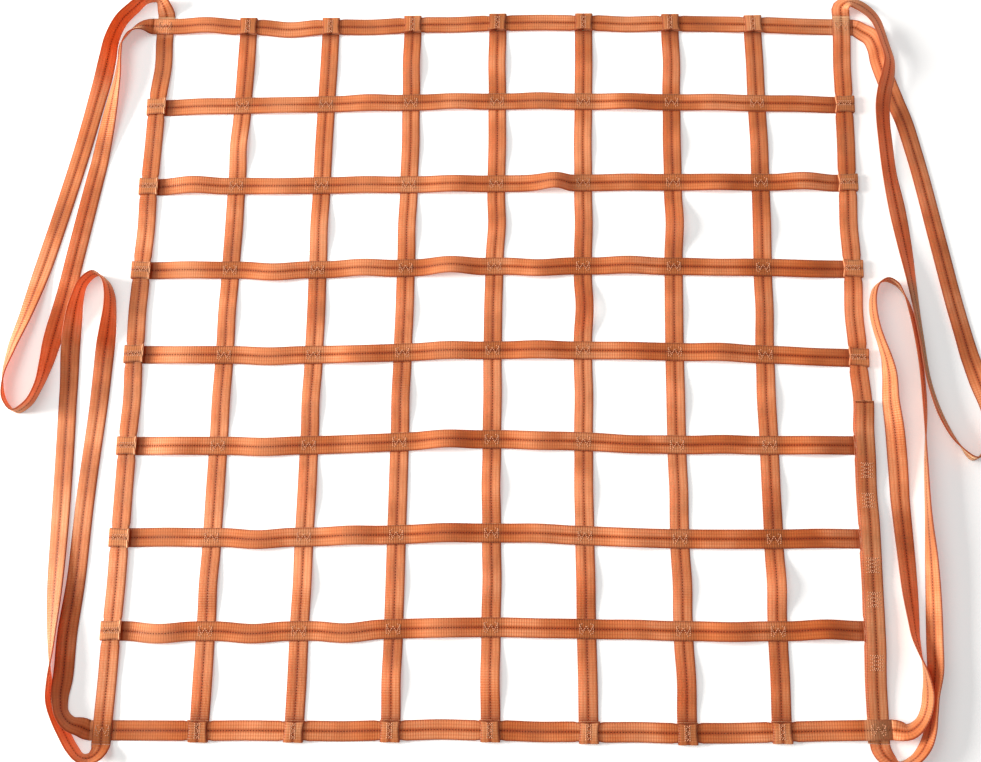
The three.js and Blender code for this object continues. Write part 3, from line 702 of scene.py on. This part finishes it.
def add_node(tree, kind, sockets=None, **settings):
    """A node with its settings, and with its sockets set, or linked where a value is a socket itself."""
    node = tree.nodes.new(kind)
    for key, value in settings.items():
        setattr(node, key, value)
    for key, value in (sockets or {}).items():
        if isinstance(value, bpy.types.NodeSocket):
            tree.links.new(value, node.inputs[key])
        else:
            node.inputs[key].default_value = value
    return node


def stitch_tree():
    """Node tree that sets stitches along the edges of a mesh, each turned to the face that it is sewn on."""
    tree = bpy.data.node_groups.get("Sewn stitches")
    if tree:
        return tree
    tree = bpy.data.node_groups.new("Sewn stitches", "GeometryNodeTree")
    sockets = (
        ("Geometry", "INPUT", "Geometry"),
        ("Pitch", "INPUT", "Float"),
        ("Stitch length", "INPUT", "Float"),
        ("Thread width", "INPUT", "Float"),
        ("Thread", "INPUT", "Material"),
        ("Geometry", "OUTPUT", "Geometry"),
    )
    for name, way, kind in sockets:
        tree.interface.new_socket(name, in_out=way, socket_type="NodeSocket" + kind)

    def add(kind, sockets=None, **settings):
        return add_node(tree, kind, sockets, **settings).outputs

    given = add("NodeGroupInput")
    curve = add("GeometryNodeMeshToCurve", {"Mesh": given["Geometry"]})["Curve"]
    points = add("GeometryNodeCurveToPoints", {"Curve": curve, "Length": given["Pitch"]}, mode="LENGTH")
    facing = add("GeometryNodeInputNamedAttribute", {"Name": "facing"}, data_type="FLOAT_VECTOR")["Attribute"]
    turn = add("FunctionNodeAlignRotationToVector", {"Vector": points["Tangent"]}, axis="X")["Rotation"]
    upright = {"Rotation": turn, "Vector": facing}
    turn = add("FunctionNodeAlignRotationToVector", upright, axis="Z", pivot_axis="X")["Rotation"]
    bead = add("GeometryNodeMeshIcoSphere", {"Radius": 0.5, "Subdivisions": 1})["Mesh"]
    height = add("ShaderNodeMath", {0: given["Thread width"], 1: STITCH_FLAT}, operation="MULTIPLY")[0]
    size = {"X": given["Stitch length"], "Y": given["Thread width"], "Z": height}
    scale = add("ShaderNodeCombineXYZ", size)["Vector"]
    stitch = {"Points": points["Points"], "Instance": bead, "Rotation": turn, "Scale": scale}
    sewing = add("GeometryNodeInstanceOnPoints", stitch)["Instances"]
    for kind in ("GeometryNodeRealizeInstances", "GeometryNodeSetShadeSmooth"):
        sewing = add(kind, {"Geometry": sewing})["Geometry"]
    dressed = {"Geometry": sewing, "Material": given["Thread"]}
    add("NodeGroupOutput", {"Geometry": add("GeometryNodeSetMaterial", dressed)["Geometry"]})
    return tree


def stitched_piece(name, lines, pitch, length, width, material):
    """Stitches along lines, each a list of (point, facing) in metres, as one plain mesh."""
    points, edges, facings = [], [], []
    for line in lines:
        edges += [(len(points) + i, len(points) + i + 1) for i in range(len(line) - 1)]
        points += [p for p, _ in line]
        facings += [f for _, f in line]
    guide = bpy.data.meshes.new(name + "_guide")
    guide.from_pydata(points, edges, [])
    mark = guide.attributes.new("facing", "FLOAT_VECTOR", "POINT")
    mark.data.foreach_set("vector", np.array(facings, dtype=np.float32).ravel())
    path = placed(name + "_guide", guide)
    tree = stitch_tree()
    sewing = path.modifiers.new("Sewing", "NODES")
    sewing.node_group = tree
    wanted = {"Pitch": pitch, "Stitch length": length, "Thread width": width, "Thread": material}
    for item in tree.interface.items_tree:
        if item.in_out == "INPUT" and item.name in wanted:
            sewing[item.identifier] = wanted[item.name]
    shown = path.evaluated_get(bpy.context.evaluated_depsgraph_get())
    mesh = bpy.data.meshes.new_from_object(shown)
    path.modifiers.remove(sewing)
    bpy.data.objects.remove(path)
    bpy.data.meshes.remove(guide)
    if not mesh.polygons:
        raise RuntimeError(f"no stitches were made for {name}")
    mesh.name = name
    return placed(name, mesh)


def middle_seam(layout, sizes, name, frames, material):
    """The seam of dark stitches sunk in the groove of both faces of a webbing."""
    level = layout.half_thick * SEAM_LEVEL
    lines = []
    for side in (1, -1):
        lines.append([((at + face * side * level) * MM, face * side) for at, _, face, _ in frames])
    return stitched_piece(
        name + "_seam", lines, sizes.seam_pitch, sizes.seam_stitch, sizes.seam_width, material
    )


def pattern_lines(layout, pattern, at, along, ply):
    """A stitch pattern set on the flat top of a ply at a place in plan, turned to run along a direction."""
    along = Vector((*along, 0))
    across = UP.cross(along)
    middle = Vector((*at, layout.ply_height(ply) + layout.half_thick + STITCH_PROUD))
    return [[((middle + along * a + across * b) * MM, UP) for a, b in line] for line in pattern]


# Materials


class Shading:
    """Short hand for building one material's nodes."""

    def __init__(self, name):
        self.material = bpy.data.materials.new(name)
        self.material.use_nodes = True
        self.tree = self.material.node_tree
        self.tree.nodes.clear()
        self.place = self.add("ShaderNodeTexCoord").outputs["Object"]

    def add(self, kind, sockets=None, **settings):
        """A node of this material."""
        return add_node(self.tree, kind, sockets, **settings)

    def math(self, operation, a, b=0.0, c=0.0):
        """Result of one sum."""
        return self.add("ShaderNodeMath", {0: a, 1: b, 2: c}, operation=operation).outputs[0]

    def ramp(self, value, stops):
        """Colour ramp through (place, colour) stops."""
        node = self.add("ShaderNodeValToRGB", {0: value})
        while len(node.color_ramp.elements) < len(stops):
            node.color_ramp.elements.new(0.5)
        for element, (place, colour) in zip(node.color_ramp.elements, stops):
            element.position = place
            element.color = (*colour, 1.0)
        return node.outputs["Color"]

    def mottle(self, value, colour, dark):
        """A colour that varies down to a darker share of itself."""
        return self.ramp(value, ((0.3, [part * dark for part in colour]), (0.7, colour)))

    def noise(self, scale, detail=2.0):
        """Noise over the piece."""
        sockets = {"Vector": self.place, "Scale": scale, "Detail": detail}
        return self.add("ShaderNodeTexNoise", sockets).outputs["Fac"]

    def spread(self, value, low, high, start=0.0, end=1.0):
        """A value between start and end spread between two others."""
        sockets = {"Value": value, "From Min": start, "From Max": end, "To Min": low, "To Max": high}
        return self.add("ShaderNodeMapRange", sockets).outputs["Result"]

    def blend(self, share, a, b):
        """Mix of two colours."""
        return self.add("ShaderNodeMix", {"Factor": share, 6: a, 7: b}, data_type="RGBA").outputs[2]

    def finish(self, shader):
        """Puts a shader on the surface and returns the material."""
        self.add("ShaderNodeOutputMaterial", {"Surface": shader.outputs[0]})
        return self.material


def webbing_material(sizes, colours):
    """Woven polyester: ribs, fine warp, a drawn-in middle, painted shade on its edges, paler or darker by its
    tone.
    """
    made = bpy.data.materials.get("orange_webbing")
    if made:
        return made
    s = Shading("orange_webbing")
    weave = s.add("ShaderNodeUVMap", uv_map="weave").outputs["UV"]
    apart = s.add("ShaderNodeSeparateXYZ", {0: weave})
    u, v = apart.outputs["X"], apart.outputs["Y"]

    off_middle = s.math("ABSOLUTE", s.math("MULTIPLY_ADD", u, 2.0, -1.0))
    rib = s.math("SINE", s.math("MULTIPLY", v, 2 * math.pi / sizes.rib_pitch))
    warp = s.math("SINE", s.math("MULTIPLY", u, 2 * math.pi * WARP_RIBS))

    colour = s.ramp(off_middle, [(place, getattr(colours, band)) for place, band in BANDS])
    wear = s.ramp(s.noise(WEAR_SCALE), WEAR)
    colour = s.add("ShaderNodeVectorMath", {0: colour, 1: wear}, operation="MULTIPLY").outputs[0]
    streak = s.spread(s.noise(STREAK_SCALE, 3.0), *STREAK_TONE, 0.3, 0.7)
    ribbed = s.spread(rib, *RIB_TONE, -1.0, 1.0)
    light = s.math("MULTIPLY", streak, ribbed)
    colour = s.add("ShaderNodeVectorMath", {0: colour, 3: light}, operation="SCALE").outputs[0]

    # Pale tones blend to the lip colour: the lips' own paleness and painted highlights; dark tones blend to
    # the seam thread's colour, mostly painted shade
    tone = s.add("ShaderNodeAttribute", attribute_name="tone").outputs["Fac"]
    dark = s.math("MULTIPLY", tone, -1.0)
    colour = s.blend(s.math("MAXIMUM", tone, 0.0), colour, (*colours.lip_and_painted_light, 1.0))
    colour = s.blend(s.math("MAXIMUM", dark, 0.0), colour, (*colours.seam, 1.0))

    fuzz = s.noise(FUZZ_SCALE)
    relief = s.math("MULTIPLY", fuzz, FUZZ_RELIEF)
    relief = s.math("MULTIPLY_ADD", warp, WARP_RELIEF, relief)
    relief = s.math("MULTIPLY_ADD", rib, RIB_RELIEF, relief)
    bump = s.add("ShaderNodeBump", {"Strength": 0.5, "Distance": RELIEF_DEPTH, "Height": relief})
    grain = s.add("ShaderNodeTangent", direction_type="UV_MAP", uv_map="weave")
    finish = {
        "Base Color": colour,
        "Normal": bump.outputs["Normal"],
        "Tangent": grain.outputs[0],
        "Roughness": s.spread(fuzz, *CLOTH_ROUGHNESS),
        "Anisotropic": 0.85,
        "Specular IOR Level": 0.8,
        "Specular Tint": (1.0, 0.76, 0.5, 1.0),
        "Sheen Weight": 1.0,
        "Sheen Roughness": 0.5,
        "Sheen Tint": (1.0, 0.78, 0.46, 1.0),
    }
    cloth = s.add("ShaderNodeBsdfPrincipled", finish)
    through = s.add("ShaderNodeBsdfTranslucent", {"Color": (*colours.glow, 1.0)})
    both = s.add("ShaderNodeMixShader", {0: GLOW_SHARE, 1: cloth.outputs[0], 2: through.outputs[0]})
    return s.finish(both)


def thread_material(name, colour):
    """Twisted sewing thread with a slight shine."""
    made = bpy.data.materials.get(name)
    if made:
        return made
    s = Shading(name)
    twist = s.noise(TWIST_SCALE, 1.0)
    finish = {
        "Base Color": s.mottle(twist, colour, THREAD_DARK),
        "Roughness": s.spread(twist, 0.5, 0.7),
        "Specular IOR Level": 0.2,
    }
    return s.finish(s.add("ShaderNodeBsdfPrincipled", finish))


def floor_material(colour):
    """Pale smooth floor with a trace of unevenness."""
    s = Shading("pale_floor")
    tone = s.mottle(s.noise(MOTTLE_SCALE, 3.0), colour, FLOOR_DARK)
    finish = {
        "Base Color": tone,
        "Emission Color": tone,
        "Emission Strength": FLOOR_GLOW,
        "Roughness": 0.7,
        "Specular IOR Level": 0.2,
    }
    return s.finish(s.add("ShaderNodeBsdfPrincipled", finish))


# Operators


def settings(context):
    """Sizes, colours and layout that every operator works from."""
    sizes, colours = context.scene.net_sizes, context.scene.net_colours
    return sizes, colours, NetLayout(sizes)


def sewn_webbing(context, node, frames, wrapped=None):
    """Builds one webbing with its middle seam, gives it its finish, puts both under the root and hides its
    node's part.
    """
    sizes, colours, layout = settings(context)
    pulls, sewn = {}, frames
    if wrapped is not None:
        pulls = sewn_ends(frames, wrapped)
        sewn = frames[FLAP_BARE:-FLAP_BARE]
    piece, length = webbing_piece(layout, node, frames, webbing_material(sizes, colours), pulls)
    seam = middle_seam(layout, sizes, node, sewn, thread_material("seam_thread", colours.seam))
    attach(piece, "root")
    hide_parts(node)
    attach(seam, "root")


def sewn_boxes(context, name, lines, dark=False):
    """Builds one group of pale stitches, or of stitches in the dark thread of the seams."""
    sizes, colours, _ = settings(context)
    if dark:
        thread = thread_material("seam_thread", colours.seam)
    else:
        thread = thread_material("box_thread", colours.thread)
    piece = stitched_piece(name, lines, sizes.box_pitch, sizes.box_stitch, sizes.box_width, thread)
    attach(piece, "root")


class NET_OT_length_webbings(bpy.types.Operator):
    """Lay the seven length webbings, wrapped round the rim at both ends."""

    bl_idname = "cargo_net.length_webbings"
    bl_label = "Length webbings"

    def execute(self, context):
        layout = settings(context)[2]
        for strap in layout.columns[1:CELLS]:
            frames = layout.grid_frames(strap, [0] * (CELLS + 1), COLUMN_LIFT, True, lip_tone=COLUMN_LIP)
            sewn_webbing(context, strap.name, frames, strap.index)
        return {"FINISHED"}


class NET_OT_cross_webbings(bpy.types.Operator):
    """Lay the seven cross webbings over the length webbings, wrapped round the rim at both ends."""

    bl_idname = "cargo_net.cross_webbings"
    bl_label = "Cross webbings"

    def execute(self, context):
        layout = settings(context)[2]
        plies = [0, *[1] * (CELLS - 1), 0]
        for strap in layout.rows[1:CELLS]:
            flared = NetLayout.grid_line(strap.index) >= SPLICE_START
            frames = layout.grid_frames(strap, plies, ROW_LIFT, True, flared, lip_tone=ROW_LIP)
            sewn_webbing(context, strap.name, frames, strap.index)
        return {"FINISHED"}


class NET_OT_rim_webbings(bpy.types.Operator):
    """Lay the four sides of the rim between the wrapped ends, and its lap on the right side."""

    bl_idname = "cargo_net.rim_webbings"
    bl_label = "Rim webbings"

    def execute(self, context):
        layout = settings(context)[2]
        sides = (
            (layout.columns[0], (1, 0)),
            (layout.columns[CELLS], (0, 1)),
            (layout.rows[0], (0, 2)),
            (layout.rows[CELLS], (1, 0)),
        )
        for strap, (first, last) in sides:
            plies = [first, *[1] * (CELLS - 1), last]
            sewn_webbing(context, strap.name, layout.grid_frames(strap, plies, RIM_LIFT, False))
        sewn_webbing(context, "rim_splice", layout.splice_frames())
        return {"FINISHED"}


class NET_OT_lifting_loops(bpy.types.Operator):
    """Lay the four lifting loops from corner to corner of the rim."""

    bl_idname = "cargo_net.lifting_loops"
    bl_label = "Lifting loops"

    def execute(self, context):
        layout = settings(context)[2]
        left, right = layout.columns[0], layout.columns[CELLS]
        bottom, top = layout.rows[0], layout.rows[CELLS]
        ends = {
            "loop_top_left": (layout.rim_end(left, 1, 0), layout.rim_end(top, -1, 1)),
            "loop_bottom_left": (layout.rim_end(left, -1, 1), layout.rim_end(bottom, -1, 0)),
            "loop_top_right": (layout.rim_end(right, 1, 1), layout.rim_end(top, 1, 0)),
            "loop_bottom_right": (layout.rim_end(right, -1, 1, SPLICE_SHIFT), layout.rim_end(bottom, 1, 2)),
        }
        for name, (start, end) in ends.items():
            sewn_webbing(context, name, layout.loop_frames(name, start, end))
        return {"FINISHED"}


class NET_OT_box_stitches(bpy.types.Operator):
    """Sew the crossings, the wrapped ends, the corners and the lap of the rim."""

    bl_idname = "cargo_net.box_stitches"
    bl_label = "Box stitches"

    def execute(self, context):
        layout = settings(context)[2]
        crossings, wraps, corners, lap = [], [], [], []
        for i, column in enumerate(layout.columns):
            for j, row in enumerate(layout.rows):
                y = row.line(column.line(NetLayout.grid_line(j)))
                at = (column.line(y), y)
                on_column, on_row = i in (0, CELLS), j in (0, CELLS)
                lapped = i == CELLS and y < SPLICE_START
                if on_column and on_row:
                    ply = 2 if (i, j) == (CELLS, 0) else 1
                    corners += pattern_lines(layout, BOX_STITCH, at, (1, 0), ply)
                elif on_column and not lapped:
                    wraps += pattern_lines(layout, WRAP_STITCH, at, (1, 0), 2)
                elif on_row:
                    wraps += pattern_lines(layout, WRAP_STITCH, at, (0, 1), 2)
                elif not on_column:
                    crossings += pattern_lines(layout, BOX_STITCH, at, (1, 0), 1)

        lap_frames = layout.splice_frames()
        for y in LAP_PATCHES:
            lap += self.on_webbing(layout, lap_frames, LAP_STITCH, y)
        tack = self.on_webbing(layout, lap_frames, BAR_TACK, lap_frames[-1][0].y - TACK_INSET)
        sewn_boxes(context, "crossing_stitches", crossings)
        sewn_boxes(context, "wrap_stitches", wraps)
        sewn_boxes(context, "corner_stitches", corners)
        sewn_boxes(context, "lap_stitches", lap)
        sewn_boxes(context, "lap_bar_tack", tack, dark=True)
        return {"FINISHED"}

    @staticmethod
    def on_webbing(layout, frames, pattern, y):
        """A pattern laid on the top of a webbing that runs along y, following its rises."""
        table = np.array([[*at, *across, *face] for at, across, face, _ in frames])

        def spot(a, b):
            here = [float(np.interp(y + b, table[:, 1], column)) for column in table.T]
            middle, across, face = Vector(here[:3]), Vector(here[3:6]), Vector(here[6:])
            return (middle + across * a + face * (layout.half_thick + STITCH_PROUD)) * MM, face

        lines = []
        for line in pattern:
            points = []
            for (a0, b0), (a1, b1) in zip(line, line[1:]):
                steps = max(1, round(math.hypot(a1 - a0, b1 - b0) / STITCH_STEP))
                points += [spot(a0 + (a1 - a0) * k / steps, b0 + (b1 - b0) * k / steps) for k in range(steps)]
            lines.append([*points, spot(*line[-1])])
        return lines


class NET_OT_stage(bpy.types.Operator):
    """Set the pale floor, the soft lights and the camera."""

    bl_idname = "cargo_net.stage"
    bl_label = "Stage"

    def execute(self, context):
        scene = context.scene
        mesh = bpy.data.meshes.new("floor")
        corners = [(x * FLOOR_REACH, y * FLOOR_REACH, 0) for x, y in ((-1, -1), (1, -1), (1, 1), (-1, 1))]
        mesh.from_pydata(corners, [], [(0, 1, 2, 3)])
        mesh.materials.append(floor_material(scene.net_colours.floor))
        floor = placed("floor", mesh)

        for name, light in LIGHTS.items():
            self.panel_light(name, *light)
        world = bpy.data.worlds.new("soft_room")
        world.use_nodes = True
        room = world.node_tree.nodes["Background"].inputs
        room["Color"].default_value = (1.0, 1.0, 1.0, 1.0)
        room["Strength"].default_value = ROOM_LIGHT
        scene.world = world
        scene.view_settings.view_transform = "Standard"

        data = bpy.data.cameras.new("camera")
        data.lens = CAMERA_LENS
        data.clip_start, data.clip_end = CAMERA_CLIP
        camera = placed("camera", data)
        camera.matrix_world = (
            Matrix.Translation(CAMERA_PLACE)
            @ Matrix.Rotation(math.radians(CAMERA_YAW), 4, "Z")
            @ Matrix.Rotation(math.radians(CAMERA_TILT), 4, "X")
            @ Matrix.Rotation(math.radians(CAMERA_ROLL), 4, "Z")
        )
        scene.camera = camera
        return {"FINISHED"}

    @staticmethod
    def panel_light(name, place, size, power, colour):
        """A square soft light turned to the net."""
        data = bpy.data.lights.new(name, "AREA")
        data.size, data.energy, data.color = size, power, colour
        light = placed(name, data)
        light.location = place
        light.rotation_mode = "QUATERNION"
        light.rotation_quaternion = (-Vector(place)).to_track_quat("-Z", "Y")


class NET_PT_pieces(bpy.types.Panel):
    """Lists the pieces of the net and their settings."""

    bl_idname = "NET_PT_pieces"
    bl_label = "Cargo lifting net"
    bl_space_type = "VIEW_3D"
    bl_region_type = "UI"
    bl_category = "Cargo Net"

    def draw(self, context):
        for operator in OPERATORS:
            self.layout.operator(operator.bl_idname)
        for group in (context.scene.net_sizes, context.scene.net_colours):
            box = self.layout.box()
            for name in group.__annotations__:
                box.prop(group, name)


OPERATORS = (
    NET_OT_stage,
    NET_OT_length_webbings,
    NET_OT_cross_webbings,
    NET_OT_rim_webbings,
    NET_OT_lifting_loops,
    NET_OT_box_stitches,
)
CLASSES = (NetSizes, NetColours, *OPERATORS, NET_PT_pieces)


def register():
    """Adds the classes and the scene's settings."""
    for cls in CLASSES:
        bpy.utils.register_class(cls)
    bpy.types.Scene.net_sizes = bpy.props.PointerProperty(type=NetSizes)
    bpy.types.Scene.net_colours = bpy.props.PointerProperty(type=NetColours)


def unregister():
    """Takes the settings and the classes away."""
    del bpy.types.Scene.net_colours
    del bpy.types.Scene.net_sizes
    for cls in reversed(CLASSES):
        bpy.utils.unregister_class(cls)


def main():
    """Builds the stage and the net."""
    register()
    bpy.ops.cargo_net.stage()
    bpy.ops.cargo_net.length_webbings()
    bpy.ops.cargo_net.cross_webbings()
    bpy.ops.cargo_net.rim_webbings()
    bpy.ops.cargo_net.lifting_loops()
    bpy.ops.cargo_net.box_stitches()


if __name__ == "__main__":
    main()
